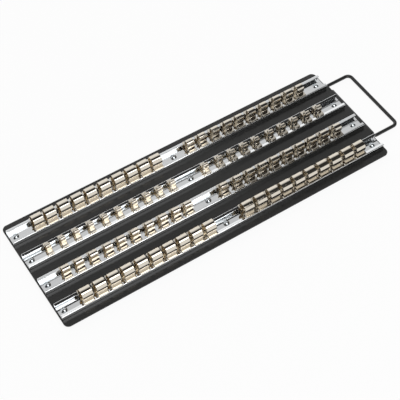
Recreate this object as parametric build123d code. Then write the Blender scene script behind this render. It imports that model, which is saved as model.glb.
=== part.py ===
from build123d import *
import os

# A tool tray of black sheet steel. Four bright C rails are riveted to it, eighty spring clips
# slide along the rails, and a wire handle hinges in the rolled end of the tray.
# Millimetres. X runs along the tray towards the handle, Y from the near edge to the far edge,
# Z up. The origin is under the middle of the whole object, on the plane that it stands on.

# Tray plate
plate_length = 436.0
plate_width = 153.1
plate_thickness = 1.2
plate_corner_radius = 6.3

# Handle wire and the rolled knuckle that holds it
wire_diameter = 4.3
handle_reach = 35.7
handle_spread = 95.4
handle_bend_radius = 6.0
hinge_bend_radius = 3.5
handle_side_slide = 3.4
knuckle_length = 80.6
knuckle_wrap_degrees = 290.0
hinge_clearance = 0.1
leg_to_plate_gap = 0.25

# Rails
rail_count = 4
rail_edge_margin = 20.3
rail_left_margin = 1.7
rail_right_margin = 1.3
rail_width = 20.8
rail_height = 6.0
rail_lip = 4.0
rail_sheet = 0.8
rail_bend_radius = 1.2

# Rivets
rivets_per_rail = 3
rivet_left_margin = 6.9
rivet_right_margin = 9.6
rivet_shank_diameter = 4.0
rivet_hole_clearance = 0.05
rivet_head_diameter = 7.5
rivet_head_height = 2.2
rivet_head_rim = 0.4
rivet_tail_diameter = 6.0
rivet_tail_height = 0.8

# Spring clips: the strip that every size is folded from
strip_thickness = 0.6
hem_gap = 0.1
hem_fold_share = 0.98
saddle_clearance = 0.1
foot_clearance = 0.15
neck_inset = 1.6
neck_height = 3.2
leg_offset = 3.4
foot_reach = 8.9
shoulder_bend_radius = 1.0
bulge_bend_radius = 1.1
neck_bend_radius = 1.2
saddle_bend_radius = 0.5
foot_bend_radius = 0.5

# Spring clips: one entry for each socket drive, with the width along the rail and, across it, half
# the width at shoulder, bulge and saddle, their heights above the tray and the ridge's soft bend
half_inch = {
    "width": 12.4,
    "ridge_height": 19.4,
    "ridge_radius": 8.0,
    "shoulder": 4.8,
    "shoulder_height": 18.2,
    "bulge": 6.5,
    "bulge_height": 16.2,
    "saddle": 10.4,
}
three_eighths = {
    "width": 9.2,
    "ridge_height": 17.5,
    "ridge_radius": 5.5,
    "shoulder": 3.3,
    "shoulder_height": 16.7,
    "bulge": 4.5,
    "bulge_height": 14.9,
    "saddle": 9.6,
}
quarter = {
    "width": 6.0,
    "ridge_height": 15.1,
    "ridge_radius": 3.5,
    "shoulder": 2.2,
    "shoulder_height": 14.6,
    "bulge": 3.1,
    "bulge_height": 13.1,
    "saddle": 8.7,
}

# Groups of clips, ten on each half rail: the rail from the near side, the rivet that the group
# starts after and the clip
clips_per_group = 10
single_clips = 5
groups = [
    {"name": "rail_1_left", "rail": 0, "rivet": 0, "clip": half_inch},
    {"name": "rail_1_right", "rail": 0, "rivet": 1, "clip": half_inch},
    {"name": "rail_2_left", "rail": 1, "rivet": 0, "clip": three_eighths},
    {"name": "rail_2_right", "rail": 1, "rivet": 1, "clip": three_eighths},
    {"name": "rail_3_left", "rail": 2, "rivet": 0, "clip": quarter},
    {"name": "rail_3_right", "rail": 2, "rivet": 1, "clip": quarter},
    {"name": "rail_4_left", "rail": 3, "rivet": 0, "clip": half_inch},
    {"name": "rail_4_right", "rail": 3, "rivet": 1, "clip": three_eighths},
]

# From the middle of that rivet to the group's first clip, and from each clip to the next
first_clip = {
    "rail_1_left": 20.8,
    "rail_1_right": 21.95,
    "rail_2_left": 18.8,
    "rail_2_right": 17.15,
    "rail_3_left": 19.2,
    "rail_3_right": 18.55,
    "rail_4_left": 21.7,
    "rail_4_right": 17.75,
}
clip_spacing = {
    "rail_1_left": 17.53,
    "rail_1_right": 17.51,
    "rail_2_left": 17.63,
    "rail_2_right": 17.79,
    "rail_3_left": 18.05,
    "rail_3_right": 18.04,
    "rail_4_left": 17.37,
    "rail_4_right": 17.73,
}

# How far each clip has slid from even spacing, as shares of that spacing
slide_shares = {
    "rail_1_left": [0.02, 0.01, -0.01, -0.03, -0.02, 0.0, 0.0, 0.01, 0.0, 0.01],
    "rail_1_right": [-0.01, 0.0, 0.02, -0.01, 0.0, 0.0, -0.02, 0.0, 0.01, 0.0],
    "rail_2_left": [0.01, -0.04, -0.02, 0.03, -0.02, -0.01, 0.04, 0.06, 0.02, -0.07],
    "rail_2_right": [-0.03, 0.04, 0.03, 0.01, -0.05, 0.0, -0.01, 0.01, -0.03, 0.03],
    "rail_3_left": [0.0, 0.0, -0.03, -0.03, 0.0, 0.0, 0.1, 0.06, -0.03, -0.07],
    "rail_3_right": [-0.05, 0.04, 0.02, 0.0, -0.07, 0.05, 0.02, 0.01, 0.01, -0.03],
    "rail_4_left": [0.04, -0.04, -0.03, -0.01, -0.03, 0.01, 0.06, 0.05, 0.0, -0.05],
    "rail_4_right": [0.02, -0.02, 0.01, 0.04, -0.04, -0.04, -0.05, 0.05, 0.05, -0.02],
}

# Places worked out from the sizes above
wire_radius = wire_diameter / 2
knuckle_bore = wire_radius + hinge_clearance
knuckle_radius = knuckle_bore + plate_thickness
plate_top = 2 * knuckle_radius
plate_bottom = plate_top - plate_thickness
overall_length = plate_length + leg_to_plate_gap + wire_diameter + handle_reach
left_edge = -overall_length / 2
right_edge = left_edge + plate_length
hinge_x = right_edge + leg_to_plate_gap + wire_radius
hinge_z = knuckle_radius
rail_left = left_edge + rail_left_margin
rail_length = plate_length - rail_left_margin - rail_right_margin
rail_floor_top = plate_top + rail_sheet
lip_top = plate_top + rail_height
lip_bottom = lip_top - rail_sheet
slot_half_width = rail_width / 2 - rail_lip
rail_pitch = (plate_width - 2 * rail_edge_margin) / (rail_count - 1)
rivet_span = rail_length - rivet_left_margin - rivet_right_margin


def rail_centre(index):
    return (index - (rail_count - 1) / 2) * rail_pitch


def rivet_x(number):
    return rail_left + rivet_left_margin + number * rivet_span / (rivets_per_rail - 1)


def rivet_places(index):
    return [(rivet_x(n), rail_centre(index)) for n in range(rivets_per_rail)]


def save(shape, name):
    export_step(shape, "parts/" + name + ".step")


def group_of(solids):
    return solids[0] if len(solids) == 1 else Compound(children=solids)


# Tray: one sheet whose right edge is cut back beside the knuckle and rolled under to make it
def make_tray():
    with BuildPart() as tray:
        with BuildSketch(Plane.XY.offset(plate_bottom)):
            with Locations(((left_edge + right_edge) / 2, 0)):
                RectangleRounded(plate_length, plate_width, plate_corner_radius)
            with Locations(((right_edge + hinge_x) / 2 - plate_corner_radius / 2, 0)):
                Rectangle(hinge_x - right_edge + plate_corner_radius, knuckle_length)
        extrude(amount=plate_thickness)
        with BuildSketch(Plane.XZ.offset(-knuckle_length / 2)):
            with BuildLine():
                outer = CenterArc((hinge_x, hinge_z), knuckle_radius, 90, -knuckle_wrap_degrees)
                inner = CenterArc((hinge_x, hinge_z), knuckle_bore, 90, -knuckle_wrap_degrees)
                Line(outer @ 0, inner @ 0)
                Line(outer @ 1, inner @ 1)
            make_face()
        extrude(amount=knuckle_length)
        with BuildSketch(Plane.XY.offset(plate_bottom)):
            for index in range(rail_count):
                with Locations(*rivet_places(index)):
                    Circle(rivet_shank_diameter / 2 + rivet_hole_clearance)
        extrude(amount=plate_thickness, mode=Mode.SUBTRACT)
    return tray.part.solids()[0]


# Handle: a closed rectangle of round wire whose inner side lies in the knuckle
def make_handle():
    near = handle_side_slide - handle_spread / 2
    far = handle_side_slide + handle_spread / 2
    corners = [
        (hinge_x, near, hinge_z),
        (hinge_x + handle_reach, near, hinge_z),
        (hinge_x + handle_reach, far, hinge_z),
        (hinge_x, far, hinge_z),
    ]
    with BuildPart() as handle:
        with BuildLine() as path:
            FilletPolyline(
                *corners,
                radius=[hinge_bend_radius, handle_bend_radius, handle_bend_radius, hinge_bend_radius],
                close=True,
            )
        with BuildSketch(Plane(origin=path.line @ 0, z_dir=path.line % 0)):
            Circle(wire_radius)
        sweep(path=path.line)
    return handle.part.solids()[0]


# Rail: a C section with its lips turned in, punched for the rivets
def make_rail(index):
    half = rail_width / 2
    with BuildPart() as rail:
        with BuildSketch(Plane.YZ.offset(rail_left)):
            with BuildLine():
                FilletPolyline(
                    (-slot_half_width, lip_top),
                    (-half, lip_top),
                    (-half, plate_top),
                    (half, plate_top),
                    (half, lip_top),
                    (slot_half_width, lip_top),
                    radius=[rail_bend_radius] * 4,
                )
                FilletPolyline(
                    (-slot_half_width, lip_top),
                    (-slot_half_width, lip_bottom),
                    (-half + rail_sheet, lip_bottom),
                    (-half + rail_sheet, rail_floor_top),
                    (half - rail_sheet, rail_floor_top),
                    (half - rail_sheet, lip_bottom),
                    (slot_half_width, lip_bottom),
                    (slot_half_width, lip_top),
                    radius=[0] + [rail_bend_radius - rail_sheet] * 4 + [0],
                )
            make_face()
        extrude(amount=rail_length)
        with BuildSketch(Plane.XY.offset(plate_top)):
            with Locations(*[(x, 0) for x, _ in rivet_places(index)]):
                Circle(rivet_shank_diameter / 2 + rivet_hole_clearance)
        extrude(amount=rail_sheet, mode=Mode.SUBTRACT)
    return Pos(0, rail_centre(index), 0) * rail.part.solids()[0]


# Rivet: a domed head in the rail, a shank and a flat tail under the tray
def make_rivet():
    head_radius = rivet_head_diameter / 2
    dome_height = rivet_head_height - rivet_head_rim
    shank = rivet_shank_diameter / 2
    tail = rivet_tail_diameter / 2
    with BuildPart() as rivet:
        with BuildSketch(Plane.XZ):
            with BuildLine():
                Polyline(
                    (0, rail_floor_top + rivet_head_height),
                    (0, plate_bottom - rivet_tail_height),
                    (tail, plate_bottom - rivet_tail_height),
                    (tail, plate_bottom),
                    (shank, plate_bottom),
                    (shank, rail_floor_top),
                    (head_radius, rail_floor_top),
                    (head_radius, rail_floor_top + rivet_head_rim),
                )
                RadiusArc(
                    (head_radius, rail_floor_top + rivet_head_rim),
                    (0, rail_floor_top + rivet_head_height),
                    -(head_radius**2 + dome_height**2) / (2 * dome_height),
                )
            make_face()
        revolve(axis=Axis.Z)
    return rivet.part.solids()[0]


# Clip: one strip of spring steel, the same on both sides of the rail. From the ridge it falls over
# a shoulder to the bulge that grips the socket, turns in to the neck, runs out over the rail's lip
# as a saddle, hems back under itself, drops through the slot and turns up again under the lip
def clip_path(kind):
    middle = strip_thickness / 2
    saddle_low = lip_top + saddle_clearance + middle
    saddle_high = saddle_low + strip_thickness + hem_gap
    neck = kind["bulge"] - neck_inset - middle
    foot_low = rail_floor_top + foot_clearance + middle
    foot_end = lip_bottom - foot_clearance
    return [
        (0, plate_top + kind["ridge_height"] - middle),
        (kind["shoulder"] - middle, plate_top + kind["shoulder_height"] - middle),
        (kind["bulge"] - middle, plate_top + kind["bulge_height"] - middle),
        (neck, saddle_high + neck_height),
        (neck, saddle_high),
        (kind["saddle"] - middle, saddle_high),
        (kind["saddle"] - middle, saddle_low),
        (leg_offset - middle, saddle_low),
        (leg_offset - middle, foot_low),
        (foot_reach - middle, foot_low),
        (foot_reach - middle, foot_end),
    ]


def make_clip(kind):
    hem_radius = (strip_thickness + hem_gap) / 2 * hem_fold_share
    half_radii = [
        shoulder_bend_radius,
        bulge_bend_radius,
        neck_bend_radius,
        saddle_bend_radius,
        hem_radius,
        hem_radius,
        saddle_bend_radius,
        foot_bend_radius,
        foot_bend_radius,
    ]
    half = clip_path(kind)
    other_half = [(-y, z) for y, z in half[:0:-1]]
    with BuildPart() as clip:
        with BuildSketch(Plane.YZ):
            with BuildLine() as strip:
                FilletPolyline(
                    *other_half,
                    *half,
                    radius=half_radii[::-1] + [kind["ridge_radius"]] + half_radii,
                )
            trace(strip.line, strip_thickness)
        extrude(amount=kind["width"])
    return clip.part.solids()[0]


def make_group(group):
    name = group["name"]
    clip = make_clip(group["clip"])
    first = rivet_x(group["rivet"]) + first_clip[name]
    y = rail_centre(group["rail"])
    placed = []
    for n in range(clips_per_group):
        steps = n + slide_shares[name][n]
        placed.append(Pos(first + steps * clip_spacing[name], y, 0) * clip)
    for n in range(single_clips):
        save(placed[n], "clip_" + name + "_" + str(n + 1))
    save(group_of(placed[single_clips:]), "clips_" + name + "_block")


os.makedirs("parts", exist_ok=True)
save(make_tray(), "tray")
save(make_handle(), "handle")
rivet = make_rivet()
for index in range(rail_count):
    save(make_rail(index), "rail_" + str(index + 1))
    riveted = [Pos(x, y, 0) * rivet for x, y in rivet_places(index)]
    save(group_of(riveted), "rivets_rail_" + str(index + 1))
for group in groups:
    make_group(group)
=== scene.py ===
import math
import random

import bmesh
import bpy
from mathutils import Euler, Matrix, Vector


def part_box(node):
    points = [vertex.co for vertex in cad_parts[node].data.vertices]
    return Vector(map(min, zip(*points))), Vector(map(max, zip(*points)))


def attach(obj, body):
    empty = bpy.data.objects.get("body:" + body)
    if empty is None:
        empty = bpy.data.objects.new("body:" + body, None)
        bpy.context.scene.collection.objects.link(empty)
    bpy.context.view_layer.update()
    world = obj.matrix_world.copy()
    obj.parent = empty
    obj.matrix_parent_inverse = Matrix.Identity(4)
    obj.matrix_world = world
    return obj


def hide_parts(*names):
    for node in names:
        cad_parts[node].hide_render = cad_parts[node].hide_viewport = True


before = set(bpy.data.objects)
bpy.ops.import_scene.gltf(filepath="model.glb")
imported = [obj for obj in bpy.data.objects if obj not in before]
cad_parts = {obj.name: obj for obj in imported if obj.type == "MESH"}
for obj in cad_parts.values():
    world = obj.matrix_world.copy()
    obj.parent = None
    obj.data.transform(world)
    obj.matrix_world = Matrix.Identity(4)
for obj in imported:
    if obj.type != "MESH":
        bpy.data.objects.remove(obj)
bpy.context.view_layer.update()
mm = 0.001
print("frame loaded")


def linearColour(hexText):  # sRGB hex to the linear colour that the shaders take
    channels = [int(hexText[i:i + 2], 16) / 255 for i in (1, 3, 5)]
    return [c / 12.92 if c <= 0.04045 else ((c + 0.055) / 1.055) ** 2.4 for c in channels] + [1.0]


def addNode(tree, kind, values=None, **settings):  # values are socket values, or sockets to link from
    node = tree.nodes.new(kind)
    for name, value in settings.items():
        setattr(node, name, value)
    for socket, value in (values or {}).items():
        if isinstance(value, bpy.types.NodeSocket):
            tree.links.new(value, node.inputs[socket])
        else:
            node.inputs[socket].default_value = value
    return node


def newMaterial(name):
    material = bpy.data.materials.new(name)
    material.use_nodes = True
    material.node_tree.nodes.clear()
    return material, material.node_tree


def objectPoints(tree, stretch=(1, 1, 1)):  # points on the piece in metres, stretched for a grain
    points = addNode(tree, "ShaderNodeTexCoord")
    return addNode(tree, "ShaderNodeMapping", {"Vector": points.outputs["Object"], "Scale": stretch})


# Black powder coat, sprayed and baked on sheet steel: the eye gets a soft black with a sheen, whose
# fine orange peel blurs the reflections of the bright rails
powderCoat = {
    "colour": "#242423",
    "mottle": "#2b2b2a",
    "roughness": (0.18, 0.25),
    "ior": 1.5,
    "peelSize": 1.3 * mm,
    "peelHeight": 0.012 * mm,
    "mottleSize": 22 * mm,
}


def powderCoatedSteel(name, look):
    material, tree = newMaterial(name)
    points = objectPoints(tree)
    peel = addNode(tree, "ShaderNodeTexNoise", {
        "Vector": points.outputs["Vector"], "Scale": 1 / look["peelSize"], "Detail": 3.0})
    mottle = addNode(tree, "ShaderNodeTexNoise", {
        "Vector": points.outputs["Vector"], "Scale": 1 / look["mottleSize"], "Detail": 4.0})
    colour = addNode(tree, "ShaderNodeMix", {
        "Factor": mottle.outputs["Fac"], "A": linearColour(look["colour"]),
        "B": linearColour(look["mottle"])}, data_type="RGBA")
    roughness = addNode(tree, "ShaderNodeMapRange", {
        "Value": mottle.outputs["Fac"], "To Min": look["roughness"][0], "To Max": look["roughness"][1]})
    bump = addNode(tree, "ShaderNodeBump", {"Height": peel.outputs["Fac"], "Distance": look["peelHeight"]})
    surface = addNode(tree, "ShaderNodeBsdfPrincipled", {
        "Base Color": colour.outputs["Result"], "Roughness": roughness.outputs["Result"],
        "IOR": look["ior"], "Normal": bump.outputs["Normal"]})
    addNode(tree, "ShaderNodeOutputMaterial", {"Surface": surface.outputs["BSDF"]})
    return material


# Plated metals: a mirror with a colour, a grain left by rolling and a little unevenness. Grain is
# the size of its marks along X, Y and Z
chrome = {  # bright chrome on roll-formed steel: cool and nearly a perfect mirror
    "colour": "#f1f2f3",
    "shade": "#e8eaeb",
    "roughness": (0.05, 0.08),
    "grain": (60 * mm, 0.9 * mm, 0.9 * mm),
    "grainHeight": 0.0003 * mm,
    "wave": 18 * mm,
    "waveHeight": 0.01 * mm,
}
springNickel = {  # nickel on spring strip: a warm champagne mirror, a touch softer than chrome
    "colour": "#e0d9cd",
    "shade": "#d9d1c3",
    "roughness": (0.06, 0.1),
    "grain": (0.5 * mm, 9 * mm, 9 * mm),
    "grainHeight": 0.0008 * mm,
    "wave": 6 * mm,
    "waveHeight": 0.008 * mm,
}
rivetNickel = {  # nickel on set rivets: cool, dimpled by the setting tool
    "colour": "#d3d7d9",
    "shade": "#bfc4c7",
    "roughness": (0.12, 0.22),
    "grain": (1.2 * mm, 1.2 * mm, 1.2 * mm),
    "grainHeight": 0.01 * mm,
    "wave": 3 * mm,
    "waveHeight": 0.05 * mm,
}


def platedSteel(name, look):
    material, tree = newMaterial(name)
    grainPoints = objectPoints(tree, [1 / size for size in look["grain"]])
    grain = addNode(tree, "ShaderNodeTexNoise", {
        "Vector": grainPoints.outputs["Vector"], "Scale": 1.0, "Detail": 3.0})
    wavePoints = objectPoints(tree)
    wave = addNode(tree, "ShaderNodeTexNoise", {
        "Vector": wavePoints.outputs["Vector"], "Scale": 1 / look["wave"], "Detail": 1.0})
    colour = addNode(tree, "ShaderNodeMix", {
        "Factor": grain.outputs["Fac"], "A": linearColour(look["colour"]),
        "B": linearColour(look["shade"])}, data_type="RGBA")
    roughness = addNode(tree, "ShaderNodeMapRange", {
        "Value": grain.outputs["Fac"], "To Min": look["roughness"][0], "To Max": look["roughness"][1]})
    waveBump = addNode(tree, "ShaderNodeBump", {
        "Height": wave.outputs["Fac"], "Distance": look["waveHeight"]})
    grainBump = addNode(tree, "ShaderNodeBump", {
        "Height": grain.outputs["Fac"], "Distance": look["grainHeight"],
        "Normal": waveBump.outputs["Normal"]})
    surface = addNode(tree, "ShaderNodeBsdfPrincipled", {
        "Base Color": colour.outputs["Result"], "Metallic": 1.0,
        "Roughness": roughness.outputs["Result"], "Normal": grainBump.outputs["Normal"]})
    addNode(tree, "ShaderNodeOutputMaterial", {"Surface": surface.outputs["BSDF"]})
    return material


def dress(node, material):
    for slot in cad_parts[node].material_slots:
        slot.material = material


trayFinish = powderCoatedSteel("powder-coated steel", powderCoat)
railFinish = platedSteel("chromed steel", chrome)
clipFinish = platedSteel("nickel-plated spring steel", springNickel)
rivetFinish = platedSteel("nickel-plated rivet steel", rivetNickel)
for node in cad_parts:
    if node in ("tray", "handle"):
        dress(node, trayFinish)
    elif node.startswith("rivets_"):
        dress(node, rivetFinish)
print("finishes on")


# Bent sheet: rails and clips are both one strip folded along a line, with every cut edge rounded
# a little, as shears and a tumbling drum leave it. Lines are (y, z) in millimetres
bendStep = math.radians(9)
edgeMiddleShare = 0.3  # how far the middle of a rounded edge is cut back, as a share of its size


def roundedLine(corners, radii):  # points of the line with its corners rounded, and their directions
    line = []
    for i, corner in enumerate(corners):
        if i in (0, len(corners) - 1):
            far = corners[1] if i == 0 else corners[-2]
            way = 1 if i == 0 else -1
            run = math.dist(corner, far)
            line.append((corner, tuple(way * (b - a) / run for a, b in zip(corner, far))))
            continue
        before, after = corners[i - 1], corners[i + 1]
        into = math.atan2(corner[1] - before[1], corner[0] - before[0])
        turn = math.atan2(after[1] - corner[1], after[0] - corner[0]) - into
        turn = (turn + math.pi) % (2 * math.pi) - math.pi
        radius, side = radii[i - 1], math.copysign(1, turn)
        back = radius * math.tan(abs(turn) / 2)
        startY, startZ = corner[0] - back * math.cos(into), corner[1] - back * math.sin(into)
        centreY = startY - side * radius * math.sin(into)
        centreZ = startZ + side * radius * math.cos(into)
        count = max(2, math.ceil(abs(turn) / bendStep))
        for n in range(count + 1):
            angle = into + turn * n / count
            alongY, alongZ = math.cos(angle), math.sin(angle)
            point = (centreY + side * radius * alongZ, centreZ - side * radius * alongY)
            line.append((point, (alongY, alongZ)))
    return line


def stripSides(line, half, edge, inset):  # both faces of the strip, from one cut edge to the other
    sides = []
    for side in (1, -1):
        points = []
        for i, ((y, z), (alongY, alongZ)) in enumerate(line):
            end = {0: 1, len(line) - 1: -1}.get(i, 0)
            steps = [(inset, half - edge), (edge, half - inset)] if end else [(0, half - inset)]
            for pull, offset in steps[::end or 1]:
                points.append((
                    y + end * pull * alongY - side * offset * alongZ,
                    z + end * pull * alongZ + side * offset * alongY))
        sides.append(points)
    return sides


def bentSheet(line, sheet, start, length):  # vertices and faces of the strip, drawn out along X
    edge = sheet["edge"]
    rounding = [(0, edge), (edgeMiddleShare * edge, edgeMiddleShare * edge), (edge, 0)]
    sections = [(start + x, inset) for x, inset in rounding]
    sections += [(start + length - x, inset) for x, inset in rounding[::-1]]
    vertices, faces = [], []
    for x, inset in sections:
        top, bottom = stripSides(line, sheet["thickness"] / 2, edge, inset)
        vertices += [(x, y, z) for y, z in top + bottom[::-1]]
    around = len(vertices) // len(sections)
    for s in range(len(sections) - 1):
        for k in range(around):
            a, b = s * around + k, s * around + (k + 1) % around
            faces.append((a, b, b + around, a + around))
    for base, flip in ((0, 1), ((len(sections) - 1) * around, -1)):
        for k in range(around // 2 - 1):
            faces.append((base + k, base + around - 1 - k, base + around - 2 - k, base + k + 1)[::flip])
    return vertices, faces


def makePiece(name, parts, material, body, node):  # an object from (vertices in mm, faces) pairs
    vertices, faces = [], []
    for partVertices, partFaces in parts:
        faces += [tuple(i + len(vertices) for i in face) for face in partFaces]
        vertices += [(x * mm, y * mm, z * mm) for x, y, z in partVertices]
    mesh = bpy.data.meshes.new(name)
    mesh.from_pydata(vertices, [], faces)
    shape = bmesh.new()
    shape.from_mesh(mesh)
    bmesh.ops.recalc_face_normals(shape, faces=shape.faces)
    shape.to_mesh(mesh)
    shape.free()
    mesh.polygons.foreach_set("use_smooth", [True] * len(mesh.polygons))
    mesh.materials.append(material)
    piece = bpy.data.objects.new(name, mesh)
    bpy.context.scene.collection.objects.link(piece)
    shading = piece.modifiers.new("flat faces stay flat", "WEIGHTED_NORMAL")
    shading.weight = 100  # the widest faces alone set the shading beside them
    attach(piece, body)
    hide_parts(node)


def boxInMm(node):
    return [[v / mm for v in corner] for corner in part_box(node)]


# Rails: roll-formed channels, with sides that flare a little and a floor that steps up towards the
# far side. Rails 1 and 3 came off the rolls with drooping lips, and rails 2 and 4 with level ones
rail = {
    "thickness": 0.8,
    "edge": 0.12,
    "halfWidth": 10.4,
    "halfSlot": 6.4,
    "height": 6.0,
    "bend": 0.45,
    "flare": 0.45,
    "stepAt": (1.9, 3.6),
    "stepBends": [6.0, 4.0],
    "closed": {"lipDroop": 0.3, "rise": 0.1},
    "open": {"lipDroop": -0.08, "rise": 0.06},
}


def railLine(form, base):
    half = rail["thickness"] / 2
    side, floorZ, lipZ = rail["halfWidth"] - half, base + half, base + rail["height"] - half
    foot = side - rail["flare"]
    near, far = rail["stepAt"]
    corners = [
        (-rail["halfSlot"], lipZ - form["lipDroop"]),
        (-side, lipZ),
        (-foot, floorZ),
        (near, floorZ),
        (far, floorZ + form["rise"]),
        (foot, floorZ + form["rise"]),
        (side, lipZ),
        (rail["halfSlot"], lipZ - form["lipDroop"]),
    ]
    fold = [rail["bend"], rail["bend"]]
    return roundedLine(corners, fold + rail["stepBends"] + fold)


for number in range(1, 5):
    node = f"rail_{number}"
    low, high = boxInMm(node)
    form = rail["closed" if number % 2 else "open"]
    middle = (low[1] + high[1]) / 2
    line = [((y + middle, z), way) for (y, z), way in railLine(form, low[2])]
    part = bentSheet(line, rail, low[0], high[0] - low[0])
    makePiece(f"chromed_rail_{number}", [part], railFinish, "tray", node)
print("rails rolled")


# Spring clips, one strip each: ridge, shoulder, brow, bulge, neck, saddle, hem, leg and foot.
# Distances are from the middle of the rail and heights are above the tray. Widths and lengths are
# the solids' own, the walls have the bulge that springs into a socket, and each clip sits a hair
# differently
clip = {
    "thickness": 0.6,
    "edge": 0.1,
    "saddleLow": 6.4,
    "saddleDip": 0.2,
    "hemGap": 0.1,
    "leg": 3.1,
    "footLow": 1.25,
    "footEnd": 5.05,
    "foot": 8.6,
    "bends": [2.1, 0.6, 2.4, 0.6, 0.343, 0.343, 0.5, 0.5, 0.5],
    "wobble": 0.25,
    "pitchShare": 0.5,
    "squeezeShare": 0.008,
    "leastSpacing": 14,
}
clipSizes = {
    "halfInch": {
        "width": 12.4, "ridge": 19.5, "ridgeBend": 10.0, "shoulder": (4.35, 18.45),
        "brow": (6.4, 15.3), "bulge": (6.7, 11.5), "neck": 4.9, "saddle": 10.4},
    "threeEighths": {
        "width": 9.2, "ridge": 17.6, "ridgeBend": 7.5, "shoulder": (3.3, 16.8),
        "brow": (4.4, 14.3), "bulge": (4.6, 11.0), "neck": 3.6, "saddle": 9.6},
    "quarter": {
        "width": 6.0, "ridge": 15.2, "ridgeBend": 5.0, "shoulder": (2.2, 14.65),
        "brow": (3.0, 12.6), "bulge": (3.2, 10.3), "neck": 2.8, "saddle": 8.7},
}
clipRows = {
    "rail_1_left": "halfInch", "rail_1_right": "halfInch",
    "rail_2_left": "threeEighths", "rail_2_right": "threeEighths",
    "rail_3_left": "quarter", "rail_3_right": "quarter",
    "rail_4_left": "halfInch", "rail_4_right": "threeEighths",
}
chance = random.Random(11)


def clipLine(size, squeeze):  # the strip's middle line, from foot to foot
    half = clip["thickness"] / 2
    saddleHigh = clip["saddleLow"] + clip["thickness"] + clip["hemGap"]
    saddle = size["saddle"] - half
    corners = [
        (0, size["ridge"] - half),
        ((size["shoulder"][0] - half) * squeeze, size["shoulder"][1] - half),
        ((size["brow"][0] - half) * squeeze, size["brow"][1] - half),
        ((size["bulge"][0] - half) * squeeze, size["bulge"][1]),
        ((size["neck"] - half) * squeeze, saddleHigh + clip["saddleDip"]),
        (saddle, saddleHigh),
        (saddle, clip["saddleLow"]),
        (clip["leg"], clip["saddleLow"]),
        (clip["leg"], clip["footLow"]),
        (clip["foot"], clip["footLow"]),
        (clip["foot"], clip["footEnd"]),
    ]
    mirrored = [(-y, z) for y, z in corners[:0:-1]]
    return roundedLine(mirrored + corners, clip["bends"][::-1] + [size["ridgeBend"]] + clip["bends"])


def setClip(size, start, middle, base, top):  # one clip at its place, a little off square, under top
    line = clipLine(size, 1 + chance.gauss(0, clip["squeezeShare"]))
    vertices, faces = bentSheet(line, clip, 0, size["width"])
    yaw, roll, pitch = (math.radians(chance.gauss(0, clip["wobble"])) for _ in range(3))
    turned = Euler((roll, pitch * clip["pitchShare"], yaw)).to_matrix()
    pivot = Vector((size["width"] / 2, 0, clip["saddleLow"]))
    turnedPoints = [turned @ (Vector(v) - pivot) + pivot for v in vertices]
    excess = max(0, base + max(v.z for v in turnedPoints) - top)
    place = Vector((start, middle, base - excess))
    return [tuple(v + place) for v in turnedPoints], faces


def clipStarts(node):  # where each of the node's clips starts along the rail, from its end faces
    ends = sorted({round(v.co.x / mm, 1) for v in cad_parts[node].data.vertices})
    starts = [ends[0]]
    for x in ends:
        if x - starts[-1] > clip["leastSpacing"]:
            starts.append(x)
    return starts


plateTop = boxInMm("rail_1")[0][2]
for row, sizeName in clipRows.items():
    size = clipSizes[sizeName]
    for node in [f"clip_{row}_{n}" for n in range(1, 6)] + [f"clips_{row}_block"]:
        low, high = boxInMm(node)
        starts = [low[0]] if node.startswith("clip_") else clipStarts(node)
        parts = [setClip(size, start, (low[1] + high[1]) / 2, plateTop, high[2]) for start in starts]
        makePiece("spring_" + node, parts, clipFinish, node, node)
print("clips on")


# Studio: a white floor and two softboxes under a dark ceiling, with a light wall on the near side
# and two on the far side, the lower one lighter. A wall is an angle in degrees from straight up,
# negative towards the near side, and its level. Brightness 1 is white
studio = {
    "floorSize": 12.0,
    "floorColour": "#ffffff",
    "floorKeepsShadow": 0.07,
    "brightness": 1.35,
    "walls": [(-67, 0.88), (-63, 0.03), (25, 0.03), (29, 0.58), (35, 0.62), (42, 0.95)],
}
softboxes = {
    "overhead softbox": {
        "place": (0.27, -0.566, 3.75), "size": (2.2, 1.4), "turn": 8, "brightness": 2.8},
    "near softbox": {
        "place": (0.597, -2.893, 3.75), "size": (2.2, 3.3), "turn": 8, "brightness": 1.9},
}


def makeFloor():  # paper that looks white to the camera and in the metal, and still keeps a shadow
    half = studio["floorSize"] / 2
    corners = [(-half, -half, 0), (half, -half, 0), (half, half, 0), (-half, half, 0)]
    mesh = bpy.data.meshes.new("floor")
    mesh.from_pydata(corners, [], [(0, 1, 2, 3)])
    floor = bpy.data.objects.new("floor", mesh)
    bpy.context.scene.collection.objects.link(floor)
    material, tree = newMaterial("matt white paper")
    path = addNode(tree, "ShaderNodeLightPath")
    seen = addNode(tree, "ShaderNodeMath", {
        0: path.outputs["Is Camera Ray"], 1: path.outputs["Is Glossy Ray"]}, operation="MAXIMUM")
    seen = addNode(tree, "ShaderNodeMath", {
        0: seen.outputs["Value"], 1: path.outputs["Is Transmission Ray"]}, operation="MAXIMUM")
    share = addNode(tree, "ShaderNodeMath", {
        0: seen.outputs["Value"], 1: 1 - studio["floorKeepsShadow"]}, operation="MULTIPLY")
    paper = addNode(tree, "ShaderNodeBsdfDiffuse", {"Color": linearColour(studio["floorColour"])})
    white = addNode(tree, "ShaderNodeEmission", {"Strength": 1.0})
    mixed = addNode(tree, "ShaderNodeMixShader", {
        0: share.outputs["Value"], 1: paper.outputs["BSDF"], 2: white.outputs["Emission"]})
    addNode(tree, "ShaderNodeOutputMaterial", {"Surface": mixed.outputs["Shader"]})
    mesh.materials.append(material)


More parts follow.
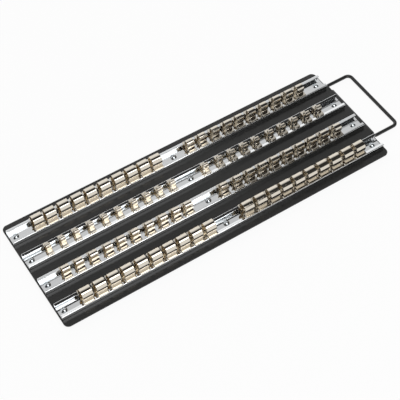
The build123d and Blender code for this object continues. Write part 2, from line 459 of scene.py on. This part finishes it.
def makeWorld():  # walls by the angle of each direction round the rails' length, white to the camera
    world = bpy.data.worlds.new("studio")
    world.use_nodes = True
    bpy.context.scene.world = world
    tree = world.node_tree
    tree.nodes.clear()
    sky = addNode(tree, "ShaderNodeTexCoord")
    way = addNode(tree, "ShaderNodeSeparateXYZ", {"Vector": sky.outputs["Generated"]})
    angle = addNode(tree, "ShaderNodeMath", {
        0: way.outputs["Y"], 1: way.outputs["Z"]}, operation="ARCTAN2")
    share = addNode(tree, "ShaderNodeMapRange", {
        "Value": angle.outputs["Value"], "From Min": -math.pi, "From Max": math.pi})
    walls = addNode(tree, "ShaderNodeValToRGB", {"Fac": share.outputs["Result"]})
    places = [0.5 + degrees / 360 for degrees, level in studio["walls"]]
    stops = walls.color_ramp.elements
    stops[0].position, stops[-1].position = places[0], places[-1]
    for place in places[1:-1]:
        stops.new(place)
    for stop, (degrees, level) in zip(stops, studio["walls"]):
        stop.color = (level, level, level, 1)
    lit = addNode(tree, "ShaderNodeMath", {
        0: walls.outputs["Color"], 1: studio["brightness"]}, operation="MULTIPLY")
    path = addNode(tree, "ShaderNodeLightPath")
    shown = addNode(tree, "ShaderNodeMath", {
        0: lit.outputs["Value"], 1: path.outputs["Is Camera Ray"]}, operation="MAXIMUM")
    light = addNode(tree, "ShaderNodeBackground", {"Strength": shown.outputs["Value"]})
    addNode(tree, "ShaderNodeOutputWorld", {"Surface": light.outputs["Background"]})


def makeSoftbox(name, box):  # its brightness is the strength that its surface shows in a mirror
    width, depth = box["size"]
    lamp = bpy.data.lights.new(name, "AREA")
    lamp.shape = "RECTANGLE"
    lamp.size, lamp.size_y = width, depth
    lamp.energy = 4 * width * depth * box["brightness"]
    holder = bpy.data.objects.new(name, lamp)
    holder.location = box["place"]
    holder.rotation_euler = (0, 0, math.radians(box["turn"]))
    holder.visible_camera = False
    bpy.context.scene.collection.objects.link(holder)


makeFloor()
makeWorld()
for name, box in softboxes.items():
    makeSoftbox(name, box)
bpy.context.scene.view_settings.view_transform = "Standard"
bpy.context.scene.cycles.glossy_bounces = 12  # light finds its way out of the folds
print("studio lit")


# Camera, at the place worked out from the tray's corners in the picture. Places are in metres, lens
# and sensor in millimetres
view = {
    "place": (-0.4221, -0.6236, 1.0099),
    "azimuth": -32.86,
    "elevation": 54.1,
    "lens": 97.06,
    "sensor": 36.0,
    "shift": (-0.00185, 0.00165),
}
lens = bpy.data.cameras.new("camera")
lens.lens = view["lens"]
lens.sensor_width = view["sensor"]
lens.shift_x, lens.shift_y = view["shift"]
camera = bpy.data.objects.new("camera", lens)
camera.location = view["place"]
camera.rotation_euler = (math.radians(90 - view["elevation"]), 0, math.radians(view["azimuth"]))
bpy.context.scene.collection.objects.link(camera)
bpy.context.scene.camera = camera
